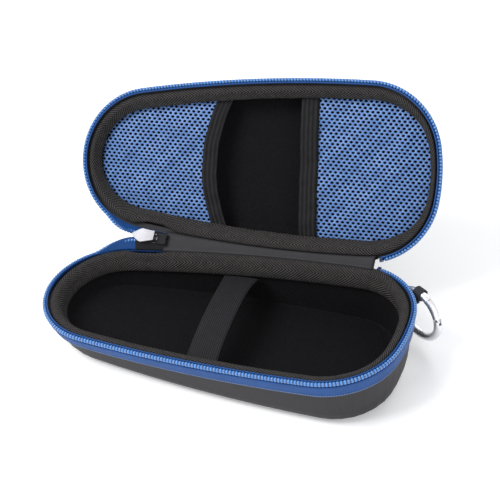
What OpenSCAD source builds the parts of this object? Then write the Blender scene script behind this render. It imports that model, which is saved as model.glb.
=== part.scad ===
// Zipped hard case for an electric shaver, shown open and empty.
// Units are mm. The case stands on its flat underside at z = 0, x runs along
// the lid hinge towards the tall end, y points to the hinge side.

/* [Show] */
// which sub-part to draw, "all" draws every one
// angle the lid is swung back from closed, degrees
open_deg = 126; // [60:1:178]

/* [Outline] */
// length of the zip line from toe to head
case_l = 180; // [160:1:200]
// radius of the round toe end
toe_r = 33.5; // [30:0.5:36]
// radius of the two corners at the head end
head_corner_r = 34; // [30:0.5:36]
// distance of each head corner centre from the centre line
head_corner_y = 7.5; // [5:0.5:10]
// radius of the shallow curve along each long side
side_r = 660; // [500:10:900]
// radius of the shallow curve across the head end
end_r = 85; // [70:1:120]
// angle between the hinge line and the centre line, degrees
hinge_skew = 2; // [1:0.1:3]
// distance from the widest point of the outline to the hinge axis
hinge_gap = 1.43; // [1.3:0.01:2]

/* [Base shell] */
// depth of the base under the middle of the rim
base_d = 28.5; // [26:0.5:34]
// growth of the base depth per mm towards the head
base_slope = 0.08; // [0:0.01:0.1]
// radius of the rounded lower edge of the base
base_edge_r = 9.7; // [8:0.1:10.5]
// distance the base wall leans in before the lower edge
base_inset = 3.66; // [3:0.1:5]
// wall thickness of the base
base_wall = 4.8; // [3:0.1:5]
// part of the lower edge radius taken away along the hinge side
rear_r_cut = 3.7; // [0:0.1:4]
// part of the inset taken away along the hinge side
rear_in_cut = 2.2; // [0:0.1:2.5]

/* [Lid shell] */
// depth of the lid over the middle of the rim
lid_d = 21.5; // [20:0.5:26]
// growth of the lid depth per mm towards the head
lid_slope = 0.05; // [0:0.01:0.06]
// radius of the rounded top edge of the lid
lid_edge_r = 8; // [7:0.1:9]
// distance the lid wall leans in before the top edge
lid_inset = 3; // [2:0.1:4]
// wall thickness of the lid
lid_wall = 3; // [2.6:0.1:4.5]

/* [Rim] */
// distance the shell rim stands outside the zip line
rim_o = 1.2; // [1:0.05:1.5]
// distance of each shell rim from the parting plane
rim_z = 3.8; // [3.6:0.1:4.5]
// thickness of the lining cloth
lining_t = 0.65; // [0.5:0.05:1]
// clearance between bonded layers
bond_gap = 0.05; // [0.03:0.01:0.1]
// depth of the recess in the rear wall that takes the hinge cloth
recess = 0.85; // [0.8:0.05:1]
// lower edge of that recess under the parting plane
recess_z = 8.5; // [7:0.5:10]

/* [Binding] */
// thickness of the padded binding where it runs down the wall
bind_t = 1; // [0.8:0.1:1.5]
// distance of the binding crest from the parting plane
bind_top = 1.3; // [1.2:0.1:2]
// lower edge of the base binding under the parting plane
base_bind_z = 9; // [8:0.5:11]
// edge of the lid binding over the parting plane
lid_bind_z = 7.2; // [7:0.1:9]
// distance of the binding face inside the zip line
bind_face = 1; // [1:0.05:1.3]
// the same distance beside the parked slider
bind_notch = 3.1; // [3:0.1:3.4]

/* [Zip] */
// thickness of the zip tape
tape_t = 0.65; // [0.5:0.05:0.7]
// inner face of the tape outside the zip line
tape_o = 0.1; // [0.1:0.01:0.2]
// lower edge of the tape under the parting plane, before the slope share
tape_z = 5.7; // [5:0.1:7]
// share of the shell depth added to the tape height
tape_share = 0.13; // [0.1:0.01:0.15]
// inner face of the coil outside the zip line
coil_o = 0.85; // [0.85:0.01:0.9]
// width of the coil
coil_w = 1.8; // [1.6:0.1:1.9]
// distance of the coil from the parting plane
coil_gap = 0.5; // [0.45:0.01:0.6]
// height of one coil
coil_h = 2.35; // [2.2:0.05:2.4]
// length of the closed chain stub behind the slider
tail_l = 4.4; // [4:0.1:4.6]
// half height of the stub
tail_h = 2.6; // [2.2:0.1:2.8]

/* [Slider] */
// angle round the toe centre at which the slider is parked, degrees
park_deg = 87.2; // [87:0.1:92]
// thickness of the two slider plates
plate_t = 0.7; // [0.6:0.05:0.75]
// inner face of the outer plate outside the zip line
plate_out = 2.95; // [2.85:0.01:3.1]
// half width of the wings at the mouth
wing_h = 3.6; // [3.2:0.1:3.6]
// half width of the rear of the plate
tail_plate_h = 2.4; // [2:0.1:2.6]
// thickness of the divider between the plates
post_t = 0.7; // [0.6:0.05:0.75]
// length of the pull tab from its pin
pull_l = 18; // [12:0.5:19]
// width of the pull tab
pull_w = 5.4; // [4.8:0.1:6]
// radius of the pin of the pull tab
pull_pin_r = 0.7; // [0.6:0.05:0.75]

/* [Strap and pockets] */
// width of the strap across the base
strap_w = 16; // [12:0.5:20]
// thickness of the strap
strap_t = 1.3; // [1:0.1:1.6]
// place of the strap along the case
strap_x = -2.5; // [-10:0.5:10]
// rise of the strap over its ends
strap_rise = 6.5; // [4:0.5:8]
// thickness of the pocket net
net_t = 0.5; // [0.4:0.05:0.8]
// distance between net cells along the case
net_px = 6.4; // [5.8:0.1:7]
// distance between rows of net cells
net_py = 5.7; // [5.2:0.1:6]
// radius of one net cell
net_r = 2.4; // [2:0.1:2.5]
// width of the left elastic band
band_left_w = 7.6; // [6:0.1:9]
// width of the right elastic band
band_right_w = 9; // [7:0.1:10]
// thickness of the elastic bands
band_t = 1.1; // [0.8:0.1:1.3]

/* [Snap ring] */
// radius of the centre line of the ring
ring_r = 12.6; // [12:0.1:13]
// radius of the ring bar
bar_r = 2; // [1.8:0.05:2.1]
// place of the ring round the head corner, degrees
ring_at = 38; // [30:1:45]
// turn of the ring away from the wall direction, degrees
ring_turn = 21; // [10:1:25]
// distance of the top of the ring outside the zip line
ring_o = 6.4; // [6.4:0.1:6.8]
// distance of the bar centre under the parting plane
ring_z = 4.6; // [4.2:0.1:5]
// angle of the gate pin round the ring, degrees
gate_a = 11; // [8:1:14]
// angle of the gate nose round the ring, degrees
gate_b = 65; // [60:1:66]
// opening left at the gate nose
gate_gap = 0.4; // [0.35:0.05:0.6]
// radius of the gate pin
gate_pin_r = 0.45; // [0.4:0.01:0.5]
// width of the webbing loop
web_w = 4.4; // [4:0.2:5]
// thickness of the webbing
web_t = 0.6; // [0.5:0.05:0.8]
// clearance between ring bar and webbing
web_gap = 0.45; // [0.4:0.01:0.55]
// distance of the webbing eye centre below the bar centre
eye_drop = 0.2; // [0.15:0.01:0.3]

/* [Hidden] */
$fn = 48;
half_l = case_l / 2;
rim_tilt = atan(base_slope);
lift = base_d * cos(rim_tilt);

// arc centres of the outline, upper half
e_c = [half_l - end_r, 0];
h_c = [e_c[0] + sqrt(pow(end_r - head_corner_r, 2) - pow(head_corner_y, 2)), head_corner_y];
t_c = [-half_l + toe_r, 0];
// the side arc touches the head corner and the toe from outside
side_d = norm(t_c - h_c);
side_p = (pow(side_r - head_corner_r, 2) - pow(side_r - toe_r, 2) + side_d * side_d) / (2 * side_d);
side_q = sqrt(pow(side_r - head_corner_r, 2) - side_p * side_p);
side_u = (t_c - h_c) / side_d;
s_c = h_c + side_p * side_u + side_q * [-side_u[1], side_u[0]];
function flip(c) = [c[0], -c[1]];
h_m = flip(h_c);
s_m = flip(s_c);
function dir_deg(v) = atan2(v[1], v[0]);
end_deg = dir_deg(h_c - e_c);
side_a = dir_deg(h_c - s_c);
side_b = dir_deg(t_c - s_c);

// a station is [arc centre, arc radius, angle of the outward normal]
function seg(c, r, a, b, n) = [for (i = [0:n - 1]) [c, r, a + (b - a) * i / n]];
// share of the long side that lies between the toe arc and the cloth hinge
hinge_share = 0.1613;
hinge_a = side_b - (side_b - side_a) * hinge_share;
hinge_b = 77.4;
step_in = 0.25;
corner_steps = 7;
toe_steps = 14;
side_steps = 8;
open_part = concat(
    seg(h_c, head_corner_r, hinge_b, end_deg, 6),
    seg(e_c, end_r, end_deg, -end_deg, 3),
    seg(h_m, head_corner_r, -end_deg, -side_a, corner_steps),
    seg(s_m, side_r, -side_a, -side_b, side_steps),
    seg(t_c, toe_r, -side_b, side_b - 360, toe_steps));
park_part = seg(s_c, side_r, side_b, hinge_a, 2);
hinge_part = concat(
    [[s_c, side_r, hinge_a - step_in]],
    seg(s_c, side_r, hinge_a - 1.4, side_a, 6),
    seg(h_c, head_corner_r, side_a, hinge_b + 1.2, 2),
    [[h_c, head_corner_r, hinge_b + 1.2]]);
ring_sts = concat(open_part, park_part, [[s_c, side_r, hinge_a]], hinge_part);
zip_end = [[s_c, side_r, side_b]];
function tail(list, k) = [for (i = [k:len(list) - 1]) list[i]];
tape_sts = concat([[h_c, head_corner_r, hinge_b - 0.2]], tail(open_part, 1), zip_end);
coil_sts = concat([[h_c, head_corner_r, hinge_b - 4]], tail(open_part, 1), zip_end);
leaf_sts = concat(
    [[s_c, side_r, hinge_a - step_in - 0.1]],
    tail([for (i = [0:len(hinge_part) - 2]) hinge_part[i]], 1),
    [[h_c, head_corner_r, hinge_b + 1.5]]);

// points and normals in the rim frame, whose x axis is parallel to the hinge
function turn(p) = [p[0] * cos(hinge_skew) + p[1] * sin(hinge_skew),
    -p[0] * sin(hinge_skew) + p[1] * cos(hinge_skew)];
function nrm(st) = [cos(st[2] - hinge_skew), sin(st[2] - hinge_skew)];
function pt(st) = turn(st[0] + st[1] * [cos(st[2]), sin(st[2])]);
hinge_y = turn(s_c)[1] + side_r + hinge_gap;

// one half of the case: depth, slope, edge radius, inset, wall, radius cut, inset cut
base_half = [base_d, base_slope, base_edge_r, base_inset, base_wall, rear_r_cut, rear_in_cut];
lid_half = [lid_d, lid_slope, lid_edge_r, lid_inset, lid_wall, 0, 0];
function rear(st) = pow(max(0, nrm(st)[1]), 2);
// wall section at a station: edge radius, centre of the edge arc, depth, lean angle
function cup(st, hf) = let (
    r = hf[2] - hf[5] * rear(st),
    oc = -(hf[3] - hf[6] * rear(st)) - r,
    d = hf[0] + hf[1] * pt(st)[0],
    dx = rim_o - oc,
    dz = d - r - rim_z)
    [r, oc, d, acos(r / norm([dx, dz])) - atan2(dz, dx)];
// section points are [outward offset, height, offset used for the slope of the floor]
function on_edge(c, s, f) = let (a = c[3] + (90 - c[3]) * f, o = c[1] + (c[0] - s) * cos(a))
    [o, c[0] - c[2] - (c[0] - s) * sin(a), o];
function on_wall(c, s, z) = let (e = on_edge(c, s, 0), f = max(0, (-z - rim_z) / (-e[1] - rim_z)))
    [rim_o - s / cos(c[3]) + (z + rim_z) * tan(c[3]), z, f * e[2]];
function on_inner(c, s, z) = z > on_edge(c, s, 0)[1] ? on_wall(c, s, z)
    : [c[1] + sqrt(max(0, pow(c[0] - s, 2) - pow(z - c[0] + c[2], 2))), z, 0];
function place(st, p, hf) = let (q = pt(st), n = nrm(st))
    [q[0] + n[0] * p[0], q[1] + n[1] * p[0], p[1] - hf[1] * n[0] * p[2]];

// faces of a wall made of n stations of m section points each; the diagonals of the
// section steps from lo to hi run the other way, so that facing skins stay parallel
function quad(a, b, c, d) = [[a, b, c], [a, c, d]];
function join2(list) = [for (a = list) for (b = a) b];
function skin(n, m, closed, around, lo, hi) = join2([for (i = [0:(closed ? n : n - 1) - 1])
    for (j = [0:(around ? m : m - 1) - 1])
        let (i2 = (i + 1) % n, j2 = (j + 1) % m)
            j >= lo && j < hi ? quad(i * m + j2, i2 * m + j2, i2 * m + j, i * m + j)
                : quad(i * m + j, i * m + j2, i2 * m + j2, i2 * m + j)]);
// bowl with flat floors: secs holds a section list per station, top its first inner point
module bowl(sts, secs, hf, top) {
    n = len(sts);
    m = len(secs[0]);
    pts = [for (i = [0:n - 1]) for (p = secs[i]) place(sts[i], p, hf)];
    polyhedron(pts, concat(skin(n, m, true, false, top, m),
        [[for (i = [0:n - 1]) i * m]],
        [[for (i = [n - 1:-1:0]) i * m + m - 1]]), convexity = 6);
}
// band swept round the outline: each section is a list of [seen point, hidden point]
module sweep(sts, secs, hf, closed) {
    n = len(sts);
    k = len(secs[0]);
    m = 2 * k;
    loops = [for (s = secs) concat([for (p = s) p[0]], [for (i = [k - 1:-1:0]) s[i][1]])];
    pts = [for (i = [0:n - 1]) for (p = loops[i]) place(sts[i], p, hf)];
    ends = closed ? [] : join2([for (j = [0:k - 2])
        concat(quad(j, m - 1 - j, m - 2 - j, j + 1),
            quad((n - 1) * m + j, (n - 1) * m + j + 1,
                (n - 1) * m + m - 2 - j, (n - 1) * m + m - 1 - j))]);
    polyhedron(pts, concat(skin(n, m, closed, true, 0, k - 1), ends), convexity = 6);
}

// frames: the rim frame of the standing base, the swung lid, the plane between them
module in_rim() { translate([0, 0, lift]) rotate([0, -rim_tilt, 0]) children(); }
module swing(a) { translate([0, hinge_y, 0]) rotate([-a, 0, 0]) translate([0, -hinge_y, 0]) children(); }
module in_base() { in_rim() children(); }
module in_lid() { in_rim() swing(open_deg) mirror([0, 0, 1]) children(); }
module in_middle() { in_rim() swing(open_deg / 2) children(); }

// shell sections, from the middle of the floor up to the rim and down inside
edge_steps = 4;
step_z = 0.4;
function recessed(st) = st[2] < hinge_a - step_in / 2 && st[2] > hinge_b + 0.6 ? recess : 0;
function shell_sec(st, hf) = let (c = cup(st, hf), g = recessed(st)) concat(
    [for (i = [edge_steps:-1:0]) on_edge(c, 0, i / edge_steps)],
    [on_wall(c, 0, -recess_z - step_z), on_wall(c, g, -recess_z), on_wall(c, g, -rim_z),
        on_wall(c, hf[4], -rim_z)],
    [for (i = [0:edge_steps]) on_edge(c, hf[4], i / edge_steps)]);
function lining_sec(st, hf) = let (c = cup(st, hf), s = hf[4] + bond_gap) concat(
    [for (i = [edge_steps:-1:0]) on_edge(c, s, i / edge_steps)],
    [on_wall(c, s, -rim_z), on_wall(c, s + lining_t, -rim_z)],
    [for (i = [0:edge_steps]) on_edge(c, s + lining_t, i / edge_steps)]);
module shell(hf) { bowl(ring_sts, [for (st = ring_sts) shell_sec(st, hf)], hf, edge_steps + 4); }
module lining(hf) { bowl(ring_sts, [for (st = ring_sts) lining_sec(st, hf)], hf, edge_steps + 2); }

// padded binding: outer face, crest, ledge, inner wall
function face_o(st) = st[0] == s_c && st[2] > hinge_a - step_in / 2 && st[2] < side_b - 0.1
    ? -bind_notch + (st[2] < hinge_a + 0.1 ? 0.3 : 0) : -bind_face;
function bind_sec(st, hf, z_end) = let (
    c = cup(st, hf),
    f = face_o(st),
    sh = hf[4] + 4 * bond_gap + lining_t,
    sv = sh + bind_t,
    under = -rim_z + bond_gap,
    edge = on_wall(c, sv, -rim_z + 0.3))
    [[[f, -bind_top - 0.8, 0], [f, under, 0]],
        [[f + 0.18 * (edge[0] - f), -bind_top, 0], [f + 0.18 * (edge[0] - f), under, 0]],
        [[f + 0.62 * (edge[0] - f), -bind_top - 0.4, 0], [on_wall(c, sh, under)[0], under, 0]],
        [edge, on_wall(c, sh, -rim_z - 1.2)],
        [on_wall(c, sv + 0.1, -z_end + 2.6), on_wall(c, sh, -z_end + 2.4)],
        [on_wall(c, sv - 0.35, -z_end), on_wall(c, sh, -z_end)]];
module binding(hf, z_end) {
    sweep(ring_sts, [for (st = ring_sts) bind_sec(st, hf, z_end)], hf, true);
}

// zip tape: stands beside the coil, steps out over the shell rim, lies on the wall
tape_bend_z = 2.95;
tape_back_z = 3.1;
function tape_sec(st, hf) = let (c = cup(st, hf), low = -tape_z - tape_share * c[2])
    [[[tape_o + tape_t, -coil_gap, 0], [tape_o, -coil_gap, 0]],
        [[tape_o + tape_t, -tape_bend_z, 0], [tape_o, -tape_back_z, 0]],
        [[rim_o + 0.8, -rim_z + 0.25, 0], [rim_o + 0.16, -rim_z + 0.15, 0]],
        [on_wall(c, -0.1 - tape_t, low), on_wall(c, -0.1, low)]];
module tape(hf) { sweep(tape_sts, [for (st = tape_sts) tape_sec(st, hf)], hf, false); }
function coil_sec() = let (o = coil_o, w = coil_w, z = -coil_gap, h = coil_h)
    [[[o + 0.64 * w, z, 0], [o + 0.36 * w, z, 0]],
        [[o + w, z - 0.22 * h, 0], [o, z - 0.22 * h, 0]],
        [[o + w, z - 0.78 * h, 0], [o, z - 0.78 * h, 0]],
        [[o + 0.64 * w, z - h, 0], [o + 0.36 * w, z - h, 0]]];
module coil(hf) { sweep(coil_sts, [for (st = coil_sts) coil_sec()], hf, false); }

// cloth hinge leaves, outer in the recess and inner beside the binding
function leaf_out_sec(st, hf) = let (c = cup(st, hf), s = recess - bond_gap)
    [[[rim_o, -0.3, 0], [rim_o - 0.8, -0.3, 0]],
        [on_wall(c, 0, -rim_z), on_wall(c, s, -rim_z)],
        [on_wall(c, 0, -recess_z + 0.1), on_wall(c, s, -recess_z + 0.1)]];
function leaf_in_sec() = [[[-0.1, -0.4, 0], [-bind_face + 0.1, -0.4, 0]],
    [[-0.1, -rim_z + 0.1, 0], [-bind_face + 0.1, -rim_z + 0.1, 0]]];
module leaf_out(hf) { sweep(leaf_sts, [for (st = leaf_sts) leaf_out_sec(st, hf)], hf, false); }
module leaf_in(hf) { sweep(leaf_sts, [for (st = leaf_sts) leaf_in_sec()], hf, false); }

// a frame at a station: x along the rim, y outward, z up, leaning with the wall
module at_wall(st, hf, s, z) {
    c = cup(st, hf);
    translate(place(st, on_wall(c, s, z), hf))
        rotate([0, 0, st[2] - hinge_skew - 90])
            rotate([-c[3], 0, 0])
                children();
}
module block(v) { translate([-v[0] / 2, 0, -v[2] / 2]) cube(v); }

// station on a long side at a given x of the rim frame
function side_st(x, up) = up
    ? [s_c, side_r, hinge_skew + acos((x - turn(s_c)[0]) / side_r)]
    : [s_m, side_r, hinge_skew - acos((x - turn(s_m)[0]) / side_r)];
function side_y(x, up, hf, s, z) = let (st = side_st(x, up))
    place(st, on_wall(cup(st, hf), s, z), hf)[1];

// strap: arched band with its ends on the long walls
strap_z = -base_bind_z - 0.6;
lined = base_wall + bond_gap + lining_t;
strap_y1 = side_y(strap_x, true, base_half, lined + 1.8, strap_z);
strap_y0 = side_y(strap_x, false, base_half, lined + 2.4, strap_z);
strap_mid = (strap_y1 + strap_y0) / 2;
strap_c = (strap_y1 - strap_y0) / 2;
strap_rad = (strap_c * strap_c + strap_rise * strap_rise) / (2 * strap_rise);
strap_deg = asin(strap_c / strap_rad);
anchor_t = 1.2;
anchor_h = 6.4;
module strap_shape() {
    translate([strap_x - strap_w / 2, strap_mid, strap_z + strap_rise - strap_rad])
        rotate([0, 90, 0])
            rotate_extrude(angle = 2 * strap_deg, start = 180 - strap_deg, $fn = 240)
                translate([strap_rad - strap_t, 0])
                    square([strap_t, strap_w]);
}
module anchor(up) {
    at_wall(side_st(strap_x, up), base_half, lined + 5 * bond_gap + anchor_t, strap_z - 0.1 - anchor_h / 2)
        block([strap_w + 1, anchor_t, anchor_h]);
}

// pocket nets and elastic bands of the lid
lid_lined = lid_wall + bond_gap + lining_t;
band_z = lid_bind_z + 0.1;
net_z = band_z + band_t + bond_gap;
function left_x(y) = -27 + 0.0065 * y * y + 0.02 * y;
function right_x(y) = 24.3 + 0.056 * y;
function net_edge(st) = let (p = on_inner(cup(st, lid_half), lid_lined + 0.2, -net_z - net_t))
    place(st, p, lid_half);
net_rim = [for (st = ring_sts) [net_edge(st)[0], net_edge(st)[1]]];
function depth_in(p) = max([for (i = [0:len(ring_sts) - 1]) (p - net_rim[i]) * nrm(ring_sts[i])]);
function cells(side, margin) = [for (j = [-6:6]) for (i = [-15:15])
    let (p = [(i + (j % 2 == 0 ? 0 : 0.5)) * net_px, j * net_py])
        if (depth_in(p) < -net_r - 1.1
            && (side < 0 ? p[0] < left_x(p[1]) - margin : p[0] > right_x(p[1]) + margin)) p];
function hex(p) = [for (k = [0:5]) p + net_r * [0.9 * cos(60 * k + 30), sin(60 * k + 30)]];
module net(rim, holes) {
    n = len(rim);
    pts = concat(rim, join2([for (p = holes) hex(p)]));
    paths = concat([[for (i = [0:n - 1]) i]],
        [for (h = [0:len(holes) - 1]) [for (k = [0:5]) n + 6 * h + k]]);
    translate([0, 0, -net_z - net_t])
        linear_extrude(net_t)
            polygon(pts, paths);
}
function band_y(x, up) = side_y(x, up, lid_half, lid_lined + 0.15, -net_z - net_t);
band_n = 6;
function left_line(dx) = [for (i = [0:band_n])
    let (y0 = band_y(left_x(-29) + dx, false), y1 = band_y(left_x(30) + dx, true),
        y = y0 + (y1 - y0) * i / band_n) [left_x(y) + dx, y]];
function right_line(dx) = [for (i = [0, 1])
    let (y0 = band_y(right_x(-31) + dx, false), y1 = band_y(right_x(31) + dx, true))
        i == 0 ? [right_x(y0) + dx, y0] : [right_x(y1) + dx, y1]];
function back(list) = [for (i = [len(list) - 1:-1:0]) list[i]];
module band(a, b) {
    translate([0, 0, -band_z - band_t])
        linear_extrude(band_t)
            polygon(concat(a, back(b)));
}
first_hinge = len(open_part);
left_rim = [for (p = net_rim) if (p[0] < left_x(p[1]) - 1) p];
right_rim = concat(
    [for (i = [first_hinge:len(net_rim) - 1]) if (net_rim[i][0] > right_x(net_rim[i][1]) + 1) net_rim[i]],
    [for (i = [0:first_hinge - 1]) if (net_rim[i][0] > right_x(net_rim[i][1]) + 1) net_rim[i]]);

// closed chain stub behind the slider, in the middle plane
tail_ahead = 8.9;
tail_x = t_c[0] + tail_ahead;
module tail_shape() {
    st = side_st(tail_x + tail_l / 2, true);
    translate([pt(st)[0], pt(st)[1], 0])
        rotate([0, 0, st[2] - hinge_skew - 90]) {
            translate([-tail_l / 2, coil_o, -tail_h])
                cube([tail_l, coil_w, 2 * tail_h]);
            translate([-tail_l / 2, tape_o, -tail_h - 0.2])
                cube([tail_l, coil_o - tape_o, 2 * tail_h + 0.4]);
            translate([tail_l / 2 - 1.4, coil_o, -1.6])
                cube([1.4, coil_w + 0.5, 3.2]);
        }
}

// slider frame: x outward from the toe centre, y towards the mouth, z across
module in_slider() {
    translate([turn(t_c)[0], turn(t_c)[1], 0]) rotate([0, 0, park_deg]) children();
}
mouth_u = 5.2;
rear_u = -6.4;
wing_u = 0.4;
waist_u = -3.6;
arch_w = 1.8;
arch_u = 3.4;
arch_foot = 1;
arch_bar = 0.8;
pin_lift = 0.9;
arch_clear = 0.2;
plate_top = toe_r + plate_out + plate_t;
pin_x = plate_top + pin_lift;
function wings() = [[mouth_u, -0.7], [mouth_u, 0.7], [wing_u + 1.2, wing_h - 0.4], [wing_u, wing_h],
    [wing_u - 1.6, wing_h - 0.3], [waist_u, tail_plate_h + 0.4], [rear_u, tail_plate_h],
    [rear_u, -tail_plate_h], [waist_u, -tail_plate_h - 0.4], [wing_u - 1.6, -wing_h + 0.3],
    [wing_u, -wing_h], [wing_u + 1.2, -wing_h + 0.4]];
module curved_plate(r0, shape, grow) {
    intersection() {
        translate([0, 0, -5])
            rotate_extrude(angle = 30, start = -15, $fn = 180)
                translate([r0, 0])
                    square([plate_t, 10]);
        translate([r0 - 2, 0, 0])
            rotate([90, 0, 90])
                linear_extrude(5)
                    polygon(shape);
    }
}
outer_mouth_h = 2.9;
outer_rear_h = 2.3;
outer_plate = [[mouth_u - 1, -outer_mouth_h], [mouth_u - 1, outer_mouth_h],
    [rear_u, outer_rear_h], [rear_u, -outer_rear_h]];
module slider_shape() {
    curved_plate(toe_r - plate_t, wings());
    curved_plate(toe_r + plate_out, outer_plate);
    translate([toe_r - 0.2, mouth_u - 3, -post_t / 2])
        cube([plate_out + 0.5, 1.9, post_t]);
    for (u = [-arch_u, arch_u - arch_foot])
        translate([plate_top - 0.3, u, -arch_w / 2])
            cube([pin_lift + pull_pin_r + arch_clear + arch_bar + 0.3, arch_foot, arch_w]);
    translate([pin_x + pull_pin_r + arch_clear, -arch_u, -arch_w / 2])
        cube([arch_bar, 2 * arch_u, arch_w]);
}
window = 4.3;
// the pull tab hangs plumb under its pin
hang_deg = atan2(cos(rim_tilt) * sin(open_deg / 2), -sin(rim_tilt)) - park_deg;
arm_w = (pull_w - arch_w) / 2 - 0.3;
pull_t = 1.2;
module pull_shape() {
    translate([pin_x, 0, 0]) rotate([0, 0, hang_deg]) {
        cylinder(h = pull_w - 0.2, r = pull_pin_r, center = true);
        for (s = [-1, 1])
            translate([0, 0, s * (pull_w - arm_w) / 2]) {
                cylinder(h = arm_w, r = pull_pin_r + 0.1, center = true);
                translate([0, -pull_t / 2, -arm_w / 2])
                    cube([window + 0.5, pull_t, arm_w]);
            }
        translate([window, -pull_t / 2, -pull_w / 2])
            cube([pull_l - window - pull_w / 2, pull_t, pull_w]);
        translate([pull_l - pull_w / 2, 0, 0])
            rotate([90, 0, 0])
                cylinder(h = pull_t, r = pull_w / 2, center = true);
    }
}

// snap ring: hangs plumb from a webbing loop at the head corner
ring_st = [h_c, head_corner_r, ring_at];
ring_top = [pt(ring_st)[0] + nrm(ring_st)[0] * ring_o, pt(ring_st)[1] + nrm(ring_st)[1] * ring_o, -ring_z];
ring_face = ring_at - hinge_skew + ring_turn;
module in_ring() {
    translate(ring_top) rotate([0, rim_tilt, 0]) rotate([0, 0, ring_face - 90]) children();
}
// flat frame of the ring: x and y in its plane, centre at the middle
module ring_plane() { translate([0, 0, -ring_r]) rotate([90, 0, 0]) children(); }
function round_at(a) = ring_r * [cos(a), sin(a)];
module bar(a, b) {
    rotate_extrude(angle = b - a, start = a, $fn = 96)
        translate([ring_r, 0])
            circle(bar_r, $fn = 24);
}
fork_a = 4.5;
fork_b = 14.5;
gate_start = 20;
tongue_t = 1.4;
tongue_gap = 0.1;
nose_deg = 8;
chord_deg = (gate_a + gate_b) / 2 + 90;
module beyond_nose(d) {
    translate(round_at(gate_b)) rotate([0, 0, chord_deg]) translate([d, -8, -5]) cube([12, 16, 10]);
}
module before_nose(d) {
    translate(round_at(gate_b)) rotate([0, 0, chord_deg]) translate([d - 12, -8, -5]) cube([12, 16, 10]);
}
module ring_body_shape() {
    difference() {
        bar(gate_b + nose_deg, 360 + fork_b);
        translate(round_at(gate_a))
            rotate([0, 0, gate_a])
                translate([-3, -(gate_a - fork_a) * ring_r * PI / 180, -tongue_t / 2 - tongue_gap])
                    cube([6, 6, tongue_t + 2 * tongue_gap]);
        translate(round_at(gate_a))
            cylinder(h = 6, r = gate_pin_r + 0.01, center = true);
    }
    difference() {
        bar(gate_b - nose_deg, gate_b + nose_deg + 0.5);
        before_nose(gate_gap);
    }
}
module gate_shape() {
    difference() {
        union() {
            difference() {
                bar(gate_start, gate_b + nose_deg);
                beyond_nose(0);
            }
            translate(round_at(gate_a))
                cylinder(h = tongue_t, r = 1.2, center = true);
            translate(round_at(gate_a))
                rotate([0, 0, gate_a + (gate_start - gate_a) / 2 + 1])
                    translate([-1, 0, -tongue_t / 2])
                        cube([2, 3, tongue_t]);
        }
        translate(round_at(gate_a))
            cylinder(h = 6, r = gate_pin_r + 0.05, center = true);
    }
}
module gate_pin_shape() {
    translate(round_at(gate_a)) cylinder(h = 2 * bar_r - 0.4, r = gate_pin_r, center = true);
}
// webbing loop: eye round the bar, two plies to a patch stitched on the tape
eye_r = bar_r + web_gap;
module ring_loop_shape() {
    in_ring()
        translate([0, 0, -eye_drop])
            rotate([0, 90, 0])
                difference() {
                    cylinder(h = web_w, r = eye_r + web_t, center = true);
                    cylinder(h = web_w + 1, r = eye_r, center = true);
                }
    difference() {
        in_ring()
            translate([-web_w / 2, -eye_r - 5, -eye_drop - eye_r - web_t])
                cube([web_w, 5 + web_t / 2, 2 * web_t]);
        at_patch() translate([0, -12, 0]) block([40, 12, 40]);
    }
    at_patch() block([web_w + 1, patch_t, patch_h]);
}
patch_t = 1.1;
patch_h = 5.4;
module at_patch() { at_wall(ring_st, base_half, -tape_t - 0.2, -7) children(); }

black_shell = [0.2, 0.2, 0.21];
black_cloth = [0.12, 0.12, 0.13];
blue = [0.18, 0.4, 0.7];
silver = [0.86, 0.86, 0.88];

module base_shell() { color(black_shell) in_base() shell(base_half); }
module base_lining() { color(black_cloth) in_base() lining(base_half); }
module base_binding() { color(black_cloth) in_base() binding(base_half, base_bind_z); }
module base_zip_tape() { color(blue) in_base() tape(base_half); }
module base_zip_coil() { color(blue) in_base() coil(base_half); }
module base_hinge_outer() { color(black_cloth) in_base() leaf_out(base_half); }
module base_hinge_inner() { color(black_cloth) in_base() leaf_in(base_half); }
module base_zip_stop() { color(blue) in_base() zip_stop(); }
module lid_shell() { color(black_shell) in_lid() shell(lid_half); }
module lid_lining() { color(black_cloth) in_lid() lining(lid_half); }
module lid_binding() { color(black_cloth) in_lid() binding(lid_half, lid_bind_z); }
module lid_zip_tape() { color(blue) in_lid() tape(lid_half); }
module lid_zip_coil() { color(blue) in_lid() coil(lid_half); }
module lid_hinge_outer() { color(black_cloth) in_lid() leaf_out(lid_half); }
module lid_hinge_inner() { color(black_cloth) in_lid() leaf_in(lid_half); }
module lid_zip_stop() { color(blue) in_lid() zip_stop(); }
module zip_stop() {
    st = [h_c, head_corner_r, hinge_b - 1.9];
    translate([pt(st)[0], pt(st)[1], 0])
        rotate([0, 0, st[2] - hinge_skew - 90])
            translate([-0.8, coil_o, -coil_gap - coil_h])
                cube([1.6, coil_w, coil_h]);
}
module strap() { color(black_cloth) in_base() strap_shape(); }
module strap_anchor_rear() { color(black_cloth) in_base() anchor(true); }
module strap_anchor_front() { color(black_cloth) in_base() anchor(false); }
module pocket_net_left() {
    color(blue) in_lid()
        net(concat(left_rim, tail(back(left_line(0)), 0)), cells(-1, 4 + net_r + 0.8));
}
module pocket_net_right() {
    color(blue) in_lid()
        net(concat(right_rim, right_line(0)), cells(1, 4.5 + net_r + 0.8));
}
module pocket_band_left() {
    color(black_cloth) in_lid() band(left_line(-band_left_w / 2), left_line(band_left_w / 2));
}
module pocket_band_right() {
    color(black_cloth) in_lid() band(right_line(-band_right_w / 2), right_line(band_right_w / 2));
}
module zip_tail() { color(blue) in_middle() tail_shape(); }
module slider_body() { color(silver) in_middle() in_slider() slider_shape(); }
module pull_tab() { color(silver) in_middle() in_slider() pull_shape(); }
module ring_loop() { color(black_cloth) in_base() ring_loop_shape(); }
module ring_body() { color(silver) in_base() in_ring() ring_plane() ring_body_shape(); }
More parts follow.
